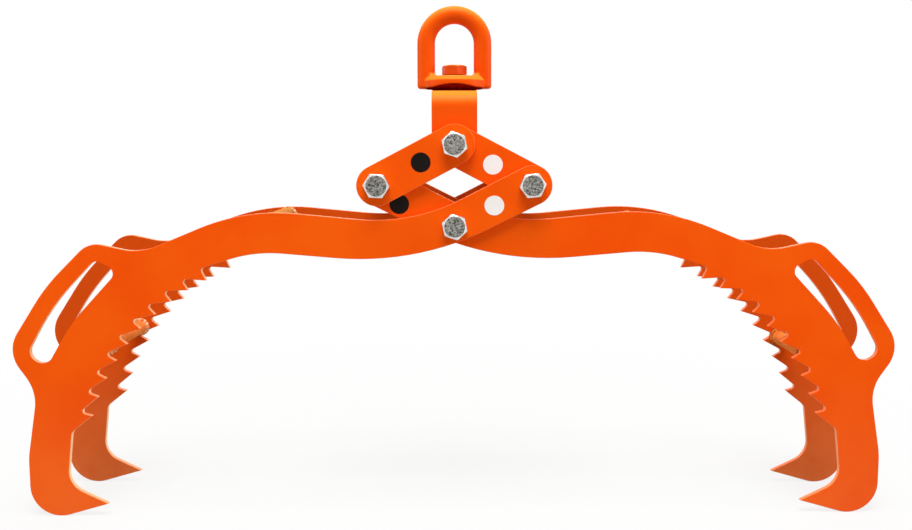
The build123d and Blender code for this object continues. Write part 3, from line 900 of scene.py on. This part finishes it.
# %% [markdown]
# Voxels fuse bar, boss and feet to one skin, and a little smoothing rounds the
# inner corners as a forging die does. Blends could be modelled by hand, but
# this way they follow when a size changes.

# %% Forged ring
RING_VOXEL = 0.7
SMOOTH_FACTOR = 0.5
SMOOTH_ROUNDS = 6

shells = [bow, boss, *skirts]
forged_ring = shell_piece("forged_ring", shells, [powder_orange])
remesh = forged_ring.modifiers.new("voxels", "REMESH")
remesh.mode = "VOXEL"
remesh.voxel_size = RING_VOXEL * MM
remesh.use_smooth_shade = True
soften = forged_ring.modifiers.new("blends", "SMOOTH")
soften.factor = SMOOTH_FACTOR
soften.iterations = SMOOTH_ROUNDS
put_on(forged_ring, "swivel_ring", "orange_paint", "swivel_ring")

# The hub and the film over the lower bevel are dark red-brown: painted shade.
hub_with_painted_shade = shell_piece("hub_with_painted_shade", [hub], [deep_shade_paint])
put_on(hub_with_painted_shade, "swivel_ring", "orange_paint")
print("forged ring from", len(shells), "shells, voxels of", RING_VOXEL, "mm, on a greased hub")

# %% [markdown]
# The tongs stand on a white paper sweep. Near the object the paper is lit and
# takes its soft shadow, and further out it runs into the white world. The light
# that it throws back is that of a grey sheet, so that the undersides stay in a
# plain shade.

# %% Floor
FLOOR_HALF = 6.0
FADE_TO_WHITE = {"From Min": 0.45, "From Max": 1.1, "To Min": 0.8}
floor_mesh = bpy.data.meshes.new("floor")
corners = np.array([(-1, -1, 0), (1, -1, 0), (1, 1, 0), (-1, 1, 0)], float) * FLOOR_HALF
floor_mesh.from_pydata(corners.tolist(), [], [(0, 1, 2, 3)])
floor = bpy.data.objects.new("floor", floor_mesh)
bpy.context.scene.collection.objects.link(floor)


def paper_floor():
    """White paper: lit near the object and plain white further out, with a darker bounce."""
    material, tree, output = new_material("white_paper")
    where = add(tree, "TexCoord").outputs["Object"]
    away = add(tree, "VectorMath", links={0: where}, operation="LENGTH").outputs["Value"]
    fade = add(tree, "MapRange", FADE_TO_WHITE, {"Value": away}).outputs["Result"]
    seen = add(tree, "LightPath").outputs
    sight = {0: seen["Is Camera Ray"], 1: seen["Is Glossy Ray"]}
    rays = add(tree, "Math", links=sight, operation="MAXIMUM").outputs[0]
    share = add(tree, "Math", links={0: rays, 1: fade}, operation="MULTIPLY").outputs[0]
    noise = add(tree, "TexNoise", {"Scale": grains(4), "Detail": 2.0}, {"Vector": where})
    shades = {"A": linear("#C4C4C2"), "B": linear("#CACAC8")}
    grain = {"Factor": noise.outputs["Fac"]}
    sheet = add(tree, "Mix", shades, grain, data_type="RGBA").outputs["Result"]
    bounce = {"A": linear("#A0A09E")}
    tint = add(tree, "Mix", bounce, {"B": sheet, "Factor": rays}, data_type="RGBA")
    paper = add(tree, "BsdfDiffuse", links={"Color": tint.outputs["Result"]})
    glow = add(tree, "Emission", {"Color": (1, 1, 1, 1), "Strength": 1.0})
    layers = {0: share, 1: paper.outputs["BSDF"], 2: glow.outputs["Emission"]}
    both = add(tree, "MixShader", links=layers)
    tree.links.new(both.outputs["Shader"], output.inputs["Surface"])
    return material


floor_mesh.materials.append(paper_floor())
print("floor:", 2 * FLOOR_HALF, "m square")

# %% [markdown]
# The world is white to the camera and in reflections, and a dimmer even fill
# for everything else. That is done with the light path, which tells the world
# what kind of ray has reached it.

# %% World
WORLD_FILL = 0.45
world = bpy.data.worlds.new("studio")
world.use_nodes = True
bpy.context.scene.world = world
sky = world.node_tree
sky.nodes.clear()
seen = add(sky, "LightPath").outputs
rays = seen["Is Camera Ray"]
for kind in ("Is Glossy Ray", "Is Transmission Ray"):
    rays = add(sky, "Math", links={0: rays, 1: seen[kind]}, operation="MAXIMUM").outputs[0]
level = add(sky, "MapRange", {"To Min": WORLD_FILL, "To Max": 1.0}, {"Value": rays})
white = {"Color": (1, 1, 1, 1)}
background = add(sky, "Background", white, {"Strength": level.outputs["Result"]})
sky_output = sky.nodes.new("ShaderNodeOutputWorld")
sky.links.new(background.outputs["Background"], sky_output.inputs["Surface"])
print("world fill", WORLD_FILL)

# %% [markdown]
# A large soft box hangs above and in front: it makes upward faces, bends and
# edges brighter than the fronts. A wide one behind and one at each side keep
# the outlines clear, and the right one is the stronger of the two.

# %% Soft boxes


def soft_box(name, place, aim, width, height, watts):
    """A rectangular area lamp at a place, turned to its aim."""
    lamp = bpy.data.lights.new(name, "AREA")
    lamp.shape = "RECTANGLE"
    lamp.size = width
    lamp.size_y = height
    lamp.energy = watts
    box = bpy.data.objects.new(name, lamp)
    box.location = place
    x, y, z = np.array(aim) - np.array(place)
    box.rotation_euler = (math.atan2(math.hypot(x, y), -z), 0, math.atan2(-x, y))
    bpy.context.scene.collection.objects.link(box)


OBJECT_MIDDLE = (0.0, 0.0, 0.3)
soft_box("top_soft_box", (0.0, -1.2, 3.6), OBJECT_MIDDLE, 2.0, 2.0, 150.0)
soft_box("back_soft_box", (0.0, 2.4, 1.5), OBJECT_MIDDLE, 3.6, 1.6, 30.0)
soft_box("left_soft_box", (-4.0, -0.3, 1.3), OBJECT_MIDDLE, 1.6, 1.2, 45.0)
soft_box("right_soft_box", (4.0, -0.3, 1.3), OBJECT_MIDDLE, 1.6, 1.2, 75.0)
print("soft boxes:", len(bpy.data.lights))

# %% [markdown]
# The camera stands 1.1 m in front and looks slightly down. Its place, turn and
# focal length were fitted to the outlines of the front and rear plates in the
# photo, which is 912 by 530 pixels.

# %% Camera
CAMERA_AT = (0.00155, -1.1075, 0.38618)
CAMERA_PITCH = 6.5
CAMERA_ROLL = 0.123
FOCAL_PX = 1022.8
IMAGE_W = 912.0
camera_data = bpy.data.cameras.new("camera")
camera_data.sensor_width = 36.0
camera_data.lens = FOCAL_PX / IMAGE_W * camera_data.sensor_width
camera = bpy.data.objects.new("camera", camera_data)
camera.location = CAMERA_AT
camera.rotation_euler = (math.radians(90 - CAMERA_PITCH), math.radians(CAMERA_ROLL), 0)
bpy.context.scene.collection.objects.link(camera)
bpy.context.scene.camera = camera
bpy.context.scene.view_settings.view_transform = "Standard"
print("camera lens", round(camera_data.lens, 2), "mm")
